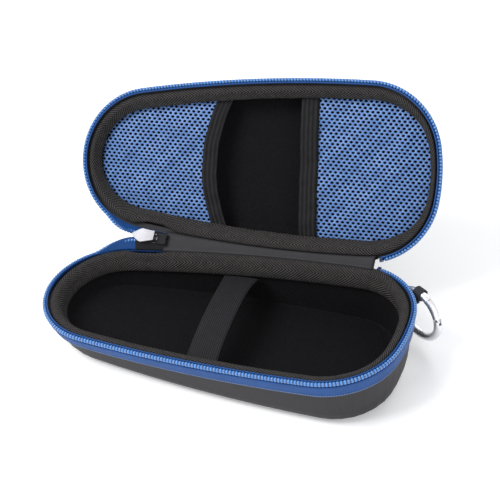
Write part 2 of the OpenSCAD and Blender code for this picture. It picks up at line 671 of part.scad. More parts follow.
module ring_gate() { color(silver) in_base() in_ring() ring_plane() gate_shape(); }
module gate_pin() { color(silver) in_base() in_ring() ring_plane() gate_pin_shape(); }

base_shell();
base_lining();
base_binding();
base_zip_tape();
base_zip_coil();
base_hinge_outer();
base_hinge_inner();
base_zip_stop();
lid_shell();
lid_lining();
lid_binding();
lid_zip_tape();
lid_zip_coil();
lid_hinge_outer();
lid_hinge_inner();
lid_zip_stop();
strap();
strap_anchor_rear();
strap_anchor_front();
pocket_net_left();
pocket_net_right();
pocket_band_left();
pocket_band_right();
zip_tail();
slider_body();
pull_tab();
ring_loop();
ring_body();
ring_gate();
gate_pin();
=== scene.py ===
import math

import bpy
import numpy as np
from mathutils import Matrix, Vector


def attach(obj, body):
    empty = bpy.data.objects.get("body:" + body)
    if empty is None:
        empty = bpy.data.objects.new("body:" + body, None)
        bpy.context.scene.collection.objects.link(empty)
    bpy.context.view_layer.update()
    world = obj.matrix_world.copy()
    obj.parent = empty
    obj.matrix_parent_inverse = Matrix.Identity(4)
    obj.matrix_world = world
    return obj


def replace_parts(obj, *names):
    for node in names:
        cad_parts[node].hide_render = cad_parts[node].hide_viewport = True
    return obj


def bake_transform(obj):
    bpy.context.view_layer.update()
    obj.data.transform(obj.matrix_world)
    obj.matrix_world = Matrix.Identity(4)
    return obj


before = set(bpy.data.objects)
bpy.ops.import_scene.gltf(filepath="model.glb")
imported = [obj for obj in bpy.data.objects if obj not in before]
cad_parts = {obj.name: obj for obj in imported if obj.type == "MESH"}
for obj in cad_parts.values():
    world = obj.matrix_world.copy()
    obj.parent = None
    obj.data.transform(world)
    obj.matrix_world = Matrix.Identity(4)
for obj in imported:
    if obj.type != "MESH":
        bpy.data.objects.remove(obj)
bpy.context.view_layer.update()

# one millimetre in the scene's metres
MM = 0.001

# sizes of the case, in millimetres and degrees, as in the part's source
HALF_L, TOE_R, COR_R, COR_Y, SIDE_R, END_R = 90.0, 33.5, 34.0, 7.5, 660.0, 85.0
SKEW, SLOPE, BASE_D, OPEN = math.radians(2), 0.08, 28.5, 126.0
HINGE_GAP, RIM_O, RIM_Z = 1.43, 1.2, 3.8
TILT = math.atan(SLOPE)
LIFT = BASE_D * math.cos(TILT)
BASE = dict(d=28.5, slope=0.08, r=9.7, inset=3.66, wall=4.8, rcut=3.7, icut=2.2)
LID = dict(d=21.5, slope=0.05, r=8.0, inset=3.0, wall=3.0, rcut=0.0, icut=0.0)
HINGE_A, HINGE_B = 97.57, 77.4
NET_Z = 8.5

# section of the zip coil: its middle, its half width and height, and the pitch of its teeth
COIL_O, COIL_Z, COIL_W, COIL_H, TOOTH = 1.75, -1.62, 0.92, 1.17, 1.6

# thickness of the cloth at the zip ends, of the hinge cloth and of the net's thread
GUSSET_T, HINGE_T, THREAD_T = 0.0005, 0.0006, 0.0004


# the outline: arcs that touch, walked clockwise from the head end of the hinge
def direction(v):
    return math.degrees(math.atan2(v[1], v[0]))


e_c = np.array([HALF_L - END_R, 0.0])
h_c = np.array([e_c[0] + math.sqrt((END_R - COR_R) ** 2 - COR_Y ** 2), COR_Y])
t_c = np.array([-HALF_L + TOE_R, 0.0])
gap = np.linalg.norm(t_c - h_c)
reach = ((SIDE_R - COR_R) ** 2 - (SIDE_R - TOE_R) ** 2 + gap ** 2) / (2 * gap)
across = math.sqrt((SIDE_R - COR_R) ** 2 - reach ** 2)
unit = (t_c - h_c) / gap
s_c = h_c + reach * unit + across * np.array([-unit[1], unit[0]])
h_m, s_m = h_c * [1, -1], s_c * [1, -1]
END_A, SIDE_A, SIDE_B = direction(h_c - e_c), direction(h_c - s_c), direction(t_c - s_c)
ARCS = [(h_c, COR_R, HINGE_B, END_A), (e_c, END_R, END_A, -END_A), (h_m, COR_R, -END_A, -SIDE_A),
        (s_m, SIDE_R, -SIDE_A, -SIDE_B), (t_c, TOE_R, -SIDE_B, SIDE_B - 360),
        (s_c, SIDE_R, SIDE_B, SIDE_A), (h_c, COR_R, SIDE_A, HINGE_B)]


def turn(p):
    p = np.asarray(p, float)
    return np.stack([p[..., 0] * math.cos(SKEW) + p[..., 1] * math.sin(SKEW),
                     -p[..., 0] * math.sin(SKEW) + p[..., 1] * math.cos(SKEW)], -1)


HINGE_Y = turn(s_c)[1] + SIDE_R + HINGE_GAP


def walk(step, first=0.0, last=1e9):
    """Points, normals and lengths along the outline, between two lengths."""
    pos, nor, run, s0 = [], [], [], 0.0
    for c, r, a, b in ARCS:
        length = math.radians(abs(b - a)) * r
        n = max(2, int(round(length / step)))
        for i in range(n):
            ang = math.radians(a + (b - a) * i / n)
            pos.append(c + r * np.array([math.cos(ang), math.sin(ang)]))
            nor.append([math.cos(ang - SKEW), math.sin(ang - SKEW)])
            run.append(s0 + length * i / n)
        s0 += length
    run = np.array(run)
    keep = (run >= first) & (run <= last)
    return turn(np.array(pos))[keep], np.array(nor)[keep], run[keep]


LENGTHS = np.cumsum([math.radians(abs(b - a)) * r for c, r, a, b in ARCS])
OPEN_END = LENGTHS[4]
HINGE_FROM = OPEN_END + math.radians(SIDE_B - HINGE_A) * SIDE_R


def cup(pos, nor, hf):
    rear = np.maximum(0, nor[:, 1]) ** 2
    r = hf["r"] - hf["rcut"] * rear
    oc = -(hf["inset"] - hf["icut"] * rear) - r
    d = hf["d"] + hf["slope"] * pos[:, 0]
    dx, dz = RIM_O - oc, d - r - RIM_Z
    return r, oc, d, np.arccos(r / np.hypot(dx, dz)) - np.arctan2(dz, dx)


def on_wall(c, s, z):
    return RIM_O - s / np.cos(c[3]) + (z + RIM_Z) * np.tan(c[3])


def base_row(p):
    p = np.asarray(p, float)
    x, y, z = p[..., 0], p[..., 1], p[..., 2]
    return np.stack([x * math.cos(TILT) - z * math.sin(TILT), y,
                     x * math.sin(TILT) + z * math.cos(TILT) + LIFT], -1)


def swing(p, deg):
    a = math.radians(deg)
    p = np.asarray(p, float)
    x, y, z = p[..., 0], p[..., 1] - HINGE_Y, p[..., 2]
    return np.stack([x, y * math.cos(a) + z * math.sin(a) + HINGE_Y, -y * math.sin(a) + z * math.cos(a)], -1)


def lid_row(p):
    return base_row(swing(np.asarray(p, float) * [1, 1, -1], OPEN))


def mid_row(p):
    return base_row(swing(p, OPEN / 2))


def ease(t):
    """Smooth step of a number between 0 and 1."""
    return t * t * (3 - 2 * t)


def raised(flat, z):
    """Adds a height, one number or one for each point, to points in the plane."""
    return np.concatenate([flat, np.broadcast_to(np.asarray(z, float), len(flat))[:, None]], 1)


def summed(steps):
    """Distances along rows, from the steps between their points."""
    return np.concatenate([np.zeros((len(steps), 1)), np.cumsum(steps, 1)], 1)


# meshes
def mesh(name, verts, faces, uv=None, material=None, smooth=True):
    me = bpy.data.meshes.new(name)
    points = (np.asarray(verts).reshape(-1, 3) * MM).tolist()
    me.from_pydata(points, [], [tuple(int(i) for i in f) for f in faces])
    if uv is not None:
        uv = np.asarray(uv, float).reshape(-1, 2) * MM
        layer = me.uv_layers.new(name="UVMap")
        loops = np.zeros(len(me.loops), np.int32)
        me.loops.foreach_get("vertex_index", loops)
        layer.data.foreach_set("uv", uv[loops].astype(np.float32).ravel())
    me.polygons.foreach_set("use_smooth", [smooth] * len(me.polygons))
    me.validate()
    me.update()
    ob = bpy.data.objects.new(name, me)
    bpy.context.scene.collection.objects.link(ob)
    if material is not None:
        me.materials.append(material)
    return ob


def grid_faces(n, m, closed=False, around=False, flip=False):
    i, j = np.meshgrid(np.arange(n if closed else n - 1), np.arange(m if around else m - 1), indexing="ij")
    i2, j2 = (i + 1) % n, (j + 1) % m
    f = np.stack([i * m + j, i * m + j2, i2 * m + j2, i2 * m + j], -1).reshape(-1, 4)
    return f[:, ::-1] if flip else f


def ring(name, pos, nor, run, prof, place, material, closed=False, around=False, flip=False):
    """A band along the outline; prof is a list of (outward, height) arrays or numbers."""
    n = len(pos)
    o = np.stack([np.broadcast_to(np.asarray(p[0], float), n) for p in prof], 1)
    z = np.stack([np.broadcast_to(np.asarray(p[1], float), n) for p in prof], 1)
    pts = np.concatenate([pos[:, None, :] + nor[:, None, :] * o[..., None], z[..., None]], -1)
    across = summed(np.hypot(np.diff(o), np.diff(z)))
    if closed:
        # one more station closes the seam of the texture
        pts = np.concatenate([pts, pts[:1]])
        across = np.concatenate([across, across[:1]])
        run = np.append(run, LENGTHS[-1])
        n += 1
    uv = np.stack([np.repeat(run[:, None], len(prof), 1), across], -1)
    if place is lid_row:
        flip = not flip
    return mesh(name, place(pts), grid_faces(n, len(prof), False, around, flip), uv, material)


def smooth_line(pts, k):
    """Rounds a section: pts is a list of (o, z) arrays, k steps per span."""
    flat = np.broadcast_arrays(*[np.asarray(v, float) for p in pts for v in p])
    pts = [np.stack(flat[i:i + 2]) for i in range(0, len(flat), 2)]
    out = []
    for i in range(len(pts) - 1):
        a, b = pts[max(i - 1, 0)], pts[min(i + 2, len(pts) - 1)]
        p, q = pts[i], pts[i + 1]
        for j in range(k):
            t = j / k
            out.append(0.5 * (2 * p + (q - a) * t + (2 * a - 5 * p + 4 * q - b) * t * t
                              + (3 * p - a - 3 * q + b) * t ** 3))
    out.append(pts[-1])
    return [(p[0], p[1]) for p in out]


# materials
def lin(r, g, b):
    def one(v):
        v /= 255
        return v / 12.92 if v <= 0.04045 else ((v + 0.055) / 1.055) ** 2.4
    return (one(r), one(g), one(b), 1.0)


class Nodes:
    """Short forms for shader nodes."""

    def __init__(self, name, colour, rough=0.6, metal=0.0, sheen=0.0, coat=0.0, spec=0.5):
        self.m = bpy.data.materials.new(name)
        self.m.use_nodes = True
        self.t = self.m.node_tree
        self.p = self.t.nodes["Principled BSDF"]
        self.p.inputs["Base Color"].default_value = colour
        self.p.inputs["Roughness"].default_value = rough
        self.p.inputs["Metallic"].default_value = metal
        self.p.inputs["Sheen Weight"].default_value = sheen
        self.p.inputs["Coat Weight"].default_value = coat
        self.p.inputs["Specular IOR Level"].default_value = spec
        self.m.diffuse_color = colour

    def set(self, socket, v):
        if isinstance(v, bpy.types.NodeSocket):
            self.t.links.new(v, socket)
        else:
            socket.default_value = v

    def op(self, kind, a, b=0.0, c=None):
        n = self.t.nodes.new("ShaderNodeMath")
        n.operation = kind
        self.set(n.inputs[0], a)
        self.set(n.inputs[1], b)
        if c is not None:
            self.set(n.inputs[2], c)
        return n.outputs[0]

    def uv(self):
        n = self.t.nodes.new("ShaderNodeTexCoord")
        s = self.t.nodes.new("ShaderNodeSeparateXYZ")
        self.t.links.new(n.outputs["UV"], s.inputs[0])
        return s.outputs[0], s.outputs[1]

    def place(self):
        n = self.t.nodes.new("ShaderNodeTexCoord")
        return n.outputs["Object"]

    def noise(self, scale, detail=2.0, vector=None, rough=0.5):
        n = self.t.nodes.new("ShaderNodeTexNoise")
        n.inputs["Scale"].default_value = scale
        n.inputs["Detail"].default_value = detail
        n.inputs["Roughness"].default_value = rough
        self.t.links.new(vector if vector is not None else self.place(), n.inputs["Vector"])
        return n.outputs["Fac"]

    def voronoi(self, scale, vector=None):
        n = self.t.nodes.new("ShaderNodeTexVoronoi")
        n.inputs["Scale"].default_value = scale
        self.t.links.new(vector if vector is not None else self.place(), n.inputs["Vector"])
        return n.outputs["Distance"]

    def wave(self, x, period):
        """0 to 1, one hump per period."""
        angle = self.op("MULTIPLY", x, 2 * math.pi / period)
        return self.op("MULTIPLY_ADD", self.op("SINE", angle), 0.5, 0.5)

    def zigzag(self, x, period):
        return self.op("PINGPONG", x, period / 2)

    def ramp(self, fac, a, b):
        n = self.t.nodes.new("ShaderNodeMix")
        n.data_type = "RGBA"
        self.set(n.inputs[0], fac)
        n.inputs[6].default_value = a
        n.inputs[7].default_value = b
        return n.outputs[2]

    def colour(self, socket):
        self.t.links.new(socket, self.p.inputs["Base Color"])

    def rough(self, fac, a, b):
        n = self.t.nodes.new("ShaderNodeMapRange")
        self.set(n.inputs[0], fac)
        n.inputs[3].default_value = a
        n.inputs[4].default_value = b
        self.t.links.new(n.outputs[0], self.p.inputs["Roughness"])

    def bump(self, height, depth, strength=1.0):
        n = self.t.nodes.new("ShaderNodeBump")
        n.inputs["Strength"].default_value = strength
        n.inputs["Distance"].default_value = depth
        self.set(n.inputs["Height"], height)
        last = getattr(self, "last", None)
        if last is not None:
            self.t.links.new(last, n.inputs["Normal"])
        self.last = n.outputs[0]
        self.t.links.new(self.last, self.p.inputs["Normal"])


def shell_mat():
    k = Nodes("shell_foam", lin(40, 39, 42), 0.62, spec=0.3)
    grain = k.noise(1800, 4)
    k.colour(k.ramp(k.noise(60, 3), lin(35, 34, 37), lin(46, 45, 49)))
    k.rough(grain, 0.5, 0.75)
    k.bump(grain, 0.00012, 0.7)
    k.bump(k.noise(90, 2), 0.0004, 0.3)
    return k.m


def lining_mat():
    k = Nodes("lining_knit", lin(9, 8, 10), 0.85, spec=0.12)
    w = k.voronoi(900)
    k.colour(k.ramp(w, lin(5, 5, 6), lin(15, 14, 17)))
    k.bump(w, 0.0002, 0.6)
    k.bump(k.noise(40, 2), 0.001, 0.3)
    return k.m


def binding_mat():
    k = Nodes("binding_knit", lin(22, 21, 23), 0.8, spec=0.15)
    u, v = k.uv()
    lean = k.op("ADD", u, k.op("MULTIPLY", k.zigzag(v, 0.010), 1.3))
    rib = k.wave(lean, 0.0017)
    fine = k.wave(k.op("SUBTRACT", v, k.op("MULTIPLY", u, 0.4)), 0.0006)
    mix = k.op("MULTIPLY", rib, k.op("MULTIPLY_ADD", fine, 0.45, 0.55))
    mix = k.op("MULTIPLY", mix, k.op("MULTIPLY_ADD", k.noise(400, 3), 1.3, 0.2))
    k.colour(k.ramp(mix, lin(9, 8, 8), lin(88, 85, 84)))
    k.bump(mix, 0.0005, 1.0)
    return k.m


def tape_mat():
    k = Nodes("tape_blue", lin(26, 70, 146), 0.55, spec=0.3)
    u, v = k.uv()
    w = k.op("MULTIPLY", k.wave(u, 0.0007), k.wave(v, 0.0005))
    mix = k.op("MULTIPLY_ADD", k.noise(120, 3), 0.5, k.op("MULTIPLY", w, 0.5))
    k.colour(k.ramp(mix, lin(12, 50, 104), lin(30, 92, 164)))
    k.bump(w, 0.00015, 0.8)
    return k.m


def edge_mat():
    # lighter grey-blue than the tape: partly the tape's own edge, partly a painted highlight along it
    k = Nodes("tape_edge_and_highlight", lin(120, 140, 172), 0.6)
    u = k.uv()[0]
    w = k.wave(u, 0.0012)
    k.colour(k.ramp(w, lin(50, 74, 116), lin(104, 124, 158)))
    k.bump(w, 0.0001, 0.7)
    return k.m


def coil_mat():
    k = Nodes("coil_blue", lin(40, 98, 176), 0.3, coat=0.25)
    u = k.uv()[0]
    # painted shade in the gaps between the teeth and painted highlights on the teeth, over the coil's own
    # blue
    tooth_shade_and_highlight = k.op("POWER", k.op("ABSOLUTE", k.op("SINE", k.op("MULTIPLY", u, math.pi / 0.0016))), 1.5)
    mix = k.op("MULTIPLY", tooth_shade_and_highlight, k.op("MULTIPLY_ADD", k.noise(500, 2), 0.5, 0.7))
    k.colour(k.ramp(mix, lin(6, 30, 76), lin(70, 134, 206)))
    k.bump(k.noise(2500, 2), 0.00004, 0.5)
    return k.m


def elastic_mat(name, dark, light, axis=0, pitch=0.0011):
    k = Nodes(name, dark, 0.75, spec=0.15)
    uv = k.uv()
    u, v = uv if axis == 0 else uv[::-1]
    rib = k.wave(u, pitch)
    w = k.op("MULTIPLY", rib, k.op("MULTIPLY_ADD", k.wave(v, 0.0006), 0.4, 0.6))
    k.colour(k.ramp(k.op("MULTIPLY", w, k.op("MULTIPLY_ADD", k.noise(300, 2), 0.8, 0.5)), dark, light))
    k.bump(w, 0.00025, 0.9)
    return k.m


def hinge_mat():
    k = Nodes("hinge_cloth", lin(34, 33, 36), 0.6, spec=0.25)
    u, v = k.uv()
    w = k.op("MULTIPLY", k.wave(u, 0.0006), k.wave(v, 0.0006))
    k.colour(k.ramp(k.noise(90, 3), lin(28, 27, 30), lin(42, 41, 45)))
    k.bump(w, 0.0001, 0.6)
    k.bump(k.noise(70, 2), 0.0008, 0.35)
    return k.m


def net_mat():
    k = Nodes("net_thread", lin(86, 116, 168), 0.42, sheen=0.3, coat=0.1)
    k.colour(k.ramp(k.noise(260, 3), lin(28, 68, 128), lin(92, 136, 196)))
    k.bump(k.noise(3000, 2), 0.00006, 0.8)
    return k.m


def web_mat(name, dark, light):
    k = Nodes(name, dark, 0.8, spec=0.15)
    w = k.noise(1500, 3)
    k.colour(k.ramp(w, dark, light))
    k.bump(w, 0.0002, 0.7)
    return k.m


def metal_mat(name, colour, rough):
    k = Nodes(name, colour, rough, metal=0.9)
    n = k.noise(220, 4)
    k.rough(n, rough - 0.08, rough + 0.12)
    k.bump(k.noise(900, 3), 0.00003, 0.5)
    return k.m


SHELL, LINING, BINDING = shell_mat(), lining_mat(), binding_mat()
TAPE, EDGE, COIL, HINGE, NET = tape_mat(), edge_mat(), coil_mat(), hinge_mat(), net_mat()
STRAP = elastic_mat("strap_elastic", lin(18, 17, 20), lin(44, 43, 47), 1, 0.0011)
BAND = elastic_mat("band_elastic", lin(9, 9, 10), lin(38, 37, 40), 1, 0.0022)
WEB = web_mat("webbing_black", lin(28, 28, 30), lin(60, 60, 64))
STUB = web_mat("stub_black", lin(22, 22, 24), lin(46, 46, 50))
SLIDER = metal_mat("slider_silver", lin(158, 157, 162), 0.5)
RING = metal_mat("ring_silver", lin(222, 222, 226), 0.28)

LOOKS = {"base_shell": SHELL, "lid_shell": SHELL, "base_lining": LINING, "lid_lining": LINING,
         "zip_tail": STUB, "slider_body": SLIDER, "pull_tab": SLIDER, "ring_loop": WEB,
         "ring_body": RING, "ring_gate": RING, "gate_pin": RING,
         "base_zip_stop": COIL, "lid_zip_stop": COIL}


def smooth_by_angle(ob, deg):
    me = ob.data
    me.polygons.foreach_set("use_smooth", [True] * len(me.polygons))
    normals = [p.normal.copy() for p in me.polygons]
    faces_of = {}
    for p in me.polygons:
        for e in p.edge_keys:
            faces_of.setdefault(e, []).append(p.index)
    limit = math.cos(math.radians(deg))
    sharp = me.attributes.get("sharp_edge") or me.attributes.new("sharp_edge", "BOOLEAN", "EDGE")
    flags = []
    for e in me.edges:
        f = faces_of.get(e.key, [])
        flags.append(len(f) == 2 and normals[f[0]].dot(normals[f[1]]) < limit)
    sharp.data.foreach_set("value", flags)


for name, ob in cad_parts.items():
    ob.data.materials.clear()
    ob.data.materials.append(LOOKS.get(name, WEB))


# bindings: a padded roll with soft wrinkles
def binding(name, hf, z_end, place, body, rear_rise, rear_fat, front_fat):
    pos, nor, run = walk(1.2)
    c = cup(pos, nor, hf)
    sh = hf["wall"] + 0.2 + 0.65
    sv = sh + 1.0
    f = np.full(len(pos), -1.0)
    park = np.clip(1.5 - np.abs(run - (OPEN_END + 9)) / 8, 0, 1)
    f = f - 2.3 * park
    near = ease(np.clip(1 - run / 24, 0, 1)) * (run < 60)
    f = f + 0.9 * near * (body == "base")
    fat = rear_fat * np.maximum(0, nor[:, 1]) ** 2 + front_fat * np.maximum(0, -nor[:, 1]) ** 2
    edge = on_wall(c, sv + 0.7 * fat, -3.5)
    puff = 0.12 * np.sin(run * 0.21) + 0.08 * np.sin(run * 0.53 + 1)
    up = rear_rise * np.maximum(0, nor[:, 1]) ** 2 + (0.9 * near if body == "base" else 0)
    line = [(f, -3.7), (f, -2.1 + 0.7 * up), (f + 0.2 * (edge - f), -1.3 + up + 0.2 * puff),
            (f + 0.62 * (edge - f), -1.65 + up + puff), (edge + 0.1, -3.3),
            (on_wall(c, sv + 0.05 + puff + fat, -5.2), -5.2),
            (on_wall(c, sv - 0.05 + 0.9 * fat, -z_end + 1.2), -z_end + 1.2),
            (on_wall(c, sv - 0.5 + 0.6 * fat, -z_end + 0.05), -z_end + 0.05),
            (on_wall(c, sh, -z_end), -z_end)]
    ob = ring(name, pos, nor, run, smooth_line(line, 4), place, BINDING, closed=True)
    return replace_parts(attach(ob, body), body + "_binding")


binding("base_binding_roll", BASE, 9.0, base_row, "base", 1.5, 1.2, 0.4)
binding("lid_binding_roll", LID, 7.2, lid_row, "lid", 0.1, 3.6, 2.4)


# zip tape and coil of each half
def tape(name, hf, place, body):
    pos, nor, run = walk(1.2, 0.2, HINGE_FROM - 0.6)
    c = cup(pos, nor, hf)
    down = 1.1 * np.clip((run - OPEN_END + 18) / 5, 0, 1)
    low = -5.7 - 0.13 * c[2]
    half = 0.5 * (low - 4.2)
    line = [(0.1, -0.6 - down), (0.42, -0.48 - down), (0.75, -0.6 - down), (0.75, -2.9), (1.4, -3.35),
            (2.0, -3.7), (on_wall(c, -0.8, half), half), (on_wall(c, -0.76, low + 0.5), low + 0.5)]
    line = smooth_line(line, 3) + [(on_wall(c, -0.1, low + 0.45), low + 0.45)]
    ob = ring(name, pos, nor, run, line, place, TAPE)
    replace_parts(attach(ob, body), body + "_zip_tape")
    # hem along the tape's lower edge; its lighter grey-blue is partly a painted edge highlight
    hem = [(on_wall(c, -0.15, low + 0.6), low + 0.6), (on_wall(c, -0.9, low + 0.55), low + 0.55),
           (on_wall(c, -0.9, low), low), (on_wall(c, -0.15, low - 0.05), low - 0.05)]
    ob = ring(name + "_hem", pos, nor, run, hem, place, EDGE, around=True)
    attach(ob, body)


def coil_section(run, size=1.0):
    """Ribbed coil: humps along the run, with deeper grooves on the head side of the teeth."""
    hump = np.abs(np.sin(math.pi * run / TOOTH))
    out = []
    for i in range(12):
        a = 2 * math.pi * i / 12
        head = max(0.0, math.sin(a)) ** 2
        k = (0.70 + 0.3 * hump ** 0.6) * (1 - 0.16 * head * (1 - hump))
        out.append((COIL_O + size * COIL_W * k * math.cos(a), COIL_Z + size * COIL_H * k * math.sin(a)))
    return out


def coil(name, place, body):
    pos, nor, run = walk(0.2, 2.6, OPEN_END - 17)
    ob = ring(name, pos, nor, run, coil_section(run), place, COIL, around=True)
    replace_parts(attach(ob, body), body + "_zip_coil")


tape("base_tape", BASE, base_row, "base")
tape("lid_tape", LID, lid_row, "lid")
coil("base_coil_teeth", base_row, "base")
coil("lid_coil_teeth", lid_row, "lid")


def thicken(ob, name, depth):
    thick = ob.modifiers.new(name, "SOLIDIFY")
    thick.thickness = depth
    thick.offset = 0


# zip ends that lift from each rim to the mouth of the slider
def zip_end(name, place, side, pair):
    pos, nor, run = walk(0.2, OPEN_END - 18.5, HINGE_FROM - 1)
    s = ease(np.clip((run - run[0]) / 21, 0, 1))[:, None]
    at_rim = place(raised(pos, 0))
    at_mid = mid_row(raised(pos, -0.4 * side))
    up_rim = place(np.tile([0, 0, 1.0], (len(pos), 1))) - place(np.zeros((len(pos), 3)))
    up_mid = (mid_row(np.tile([0, 0, 1.0], (len(pos), 1))) - mid_row(np.zeros((len(pos), 3)))) * side
    out3 = raised(nor, 0)
    out_rim = place(out3) - place(np.zeros((len(pos), 3)))
    out_mid = mid_row(out3) - mid_row(np.zeros((len(pos), 3)))
    base = at_rim * (1 - s) + at_mid * s
    up = up_rim * (1 - s) + up_mid * s
    out = out_rim * (1 - s) + out_mid * s
    up /= np.linalg.norm(up, axis=1)[:, None]
    out /= np.linalg.norm(out, axis=1)[:, None]

    mid = int(np.argmin(np.abs(run - OPEN_END)))
    far = {"lid": lid_row, "zip_tail": mid_row}[pair]

    def ride_both(ob):
        a = base_row([[pos[mid][0], pos[mid][1], 0]])[0] * MM
        b = far([[pos[mid][0], pos[mid][1], 0]])[0] * MM
        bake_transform(ob)

    def band(prof, label, mat, keep):
        o = np.stack([np.broadcast_to(p[0], len(pos)) for p in prof], 1)[..., None][keep]
        z = np.stack([np.broadcast_to(p[1], len(pos)) for p in prof], 1)[..., None][keep]
        pts = base[keep][:, None] + out[keep][:, None] * o + up[keep][:, None] * z
        acr = summed(np.hypot(np.diff(o[..., 0]), np.diff(z[..., 0])))
        uv = np.stack([np.repeat(run[keep][:, None], len(prof), 1), acr], -1)
        ob = mesh(name + label, pts, grid_faces(len(pts), len(prof), False, True, side > 0), uv, mat)
        ride_both(ob)
        return ob

    seen = run <= OPEN_END + 2.6
    chain = band(coil_section(run, 0.95), "_coil", COIL, seen)
    for label, mat, keep in (("_tape", TAPE, seen), ("_gusset", STUB, run >= OPEN_END + 2.2)):
        rim = place(raised(pos + nor * 0.45, -1.6))
        top = base + out * 0.45 + up * -0.7
        rows = [rim * (1 - q) + top * q for q in np.linspace(0, 1, 7)]
        pts = np.stack(rows, 1)[keep]
        acr = np.linspace(0, 1, 7)[None] * np.linalg.norm(rim - top, axis=1)[keep][:, None]
        uv = np.stack([np.repeat(run[keep][:, None], 7, 1), acr], -1)
        ob = mesh(name + label, pts, grid_faces(len(pts), 7), uv, mat)
        thicken(ob, "thick", GUSSET_T)
        ride_both(ob)


zip_end("zip_end_base", base_row, 1, "zip_tail")
zip_end("zip_end_lid", lid_row, -1, "lid")


# cloth hinge: one inner panel and one outer strip, bent round the hinge line
def hinge(name, o, reach, sag, mat, first):
    pos, nor, run = walk(1.5, HINGE_FROM + first, LENGTHS[-1] - 0.6)
    n = len(pos)

    def wall_side(hf, z):
        oo = np.where(z < -RIM_Z, np.minimum(o, on_wall(cup(pos, nor, hf), 0.05, z)), o)
        return np.reshape(oo, (-1, 1)) * np.ones((n, 1))

    lows = np.linspace(-reach, -0.4, 6)
    rows = []
    for z in lows:
        rows.append(base_row(raised(pos + nor * wall_side(BASE, z), z)))
    a = rows[-1]
    b = lid_row(raised(pos + nor * o, -0.4))
    axis = base_row(np.stack([pos[:, 0], np.full(n, HINGE_Y), np.zeros(n)], 1))
    mid = 0.5 * (a + b) + sag * (axis - 0.5 * (a + b))
    for t in np.linspace(0, 1, 9)[1:-1]:
        rows.append(a * (1 - t) ** 2 + 2 * mid * t * (1 - t) + b * t * t)
    for z in lows[::-1]:
        rows.append(lid_row(raised(pos + nor * wall_side(LID, z), z)))
    pts = np.stack(rows, 1)
    acr = summed(np.linalg.norm(np.diff(pts, axis=1), axis=-1))
    uv = np.stack([np.repeat(run[:, None], pts.shape[1], 1), acr], -1)
    ob = mesh(name, pts, grid_faces(n, pts.shape[1]), uv, mat)
    thicken(ob, "thick", HINGE_T)
    mx = 0.5 * (pos[:, 0].min() + pos[:, 0].max())
    start = base_row([[mx, HINGE_Y - 1.5, -1.2]])[0] * MM
    end = lid_row([[mx, HINGE_Y - 1.5, -1.2]])[0] * MM
    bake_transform(ob)
    return ob


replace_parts(hinge("hinge_panel_inner", -0.5, 3.4, 0.25, HINGE, -3.2), "base_hinge_inner", "lid_hinge_inner")
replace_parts(hinge("hinge_panel_outer", 0.8, 8.2, 0.7, HINGE, 0.8), "base_hinge_outer", "lid_hinge_outer")


# pocket nets and their elastic bands, in the closed lid's frame
LP, LN, _ = walk(2.0)
LC = cup(LP, LN, LID)
INNER = LP + LN * on_wall(LC, LID["wall"] + 0.85, -NET_Z)[:, None]


def depth_in(p):
    """How far a point lies inside the lining, as a positive number."""
    return -((p[..., None, :] - INNER) * LN).sum(-1).max(-1)


def left_x(y):
    return -27 + 0.0065 * y * y + 0.02 * y


def right_x(y):
    return 24.3 + 0.056 * y


def bulge(p):
    x, y = p[..., 0], p[..., 1]
    soft = ease(np.clip(depth_in(p) / 14, 0, 1))
    fold = 0.35 * np.sin(0.22 * x + 0.13 * y) + 0.3 * np.sin(0.31 * y - 0.1 * x + 2)
    fold = fold + 0.18 * np.sin(0.5 * (x + y))
    return -NET_Z + soft * (1.3 + fold)


def net(name, side, nodes):
    p, r, hole = 2.7, 1.7, 0.62
    verts, faces, keys = [], [], {}

    def vertex(x, y):
        k = (round(x, 3), round(y, 3))
        if k not in keys:
            keys[k] = len(verts)
            verts.append([x, y])
        return keys[k]

    lo, hi = (-88, -18) if side < 0 else (14, 92)
    shape = [(0, 2 * r / 3), (-p / 2, r / 3), (-p / 2, -r / 3),
             (0, -2 * r / 3), (p / 2, -r / 3), (p / 2, r / 3)]
    for j in range(-24, 25):
        for i in range(int(lo / p), int(hi / p) + 1):
            cx, cy = (i + 0.5 * (j % 2)) * p, j * r
            c = np.array([cx, cy])
            if depth_in(c) < -0.2:
                continue
            if (side < 0 and cx > left_x(cy)) or (side > 0 and cx < right_x(cy)):
                continue
            outer = [vertex(cx + a, cy + b) for a, b in shape]
            inner = []
            for a, b in shape:
                inner.append(len(verts))
                verts.append([cx + a * hole, cy + b * hole])
            for k in range(6):
                k2 = (k + 1) % 6
                faces.append((outer[k], outer[k2], inner[k2], inner[k]))
    v = np.array(verts)
    ob = mesh(name, lid_row(raised(v, bulge(v))), faces, v, NET)
    thicken(ob, "thread", THREAD_T)
    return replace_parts(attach(ob, "lid"), *nodes)


net("net_left", -1, ["pocket_net_left"])
net("net_right", 1, ["pocket_net_right"])


def elastic(name, line, width, node):
    """A band across the lid: line gives x for a y."""
    ys = np.linspace(-36, 36, 61)
    cx = line(ys)
    inside = depth_in(np.stack([cx, ys], 1)) > -0.3
    ys, cx = ys[inside], cx[inside]
    across = np.linspace(-1, 1, 9)
    top, low = [], []
    for a in across:
        x = cx + a * width / 2
        z = bulge(np.stack([cx, ys], 1)) + 0.15 * (1 - a * a)
        wave = 0.12 * np.sin(ys * 0.8 + a * 3)
        top.append(np.stack([x, ys, z + 1.0 + wave], 1))
        low.append(np.stack([x, ys, z + 0.1 + wave], 1))
    pts = np.stack(top + low[::-1], 1)
    acr = np.concatenate([(across + 1) * width / 2, (1 - across) * width / 2 + width])
    uv = np.stack([np.repeat(ys[:, None], len(acr), 1), np.repeat(acr[None], len(ys), 0)], -1)
    ob = mesh(name, lid_row(pts), grid_faces(len(ys), pts.shape[1], False, True), uv, BAND)
    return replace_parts(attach(ob, "lid"), node)


elastic("band_left", left_x, 7.6, "pocket_band_left")
elastic("band_right", right_x, 9.0, "pocket_band_right")


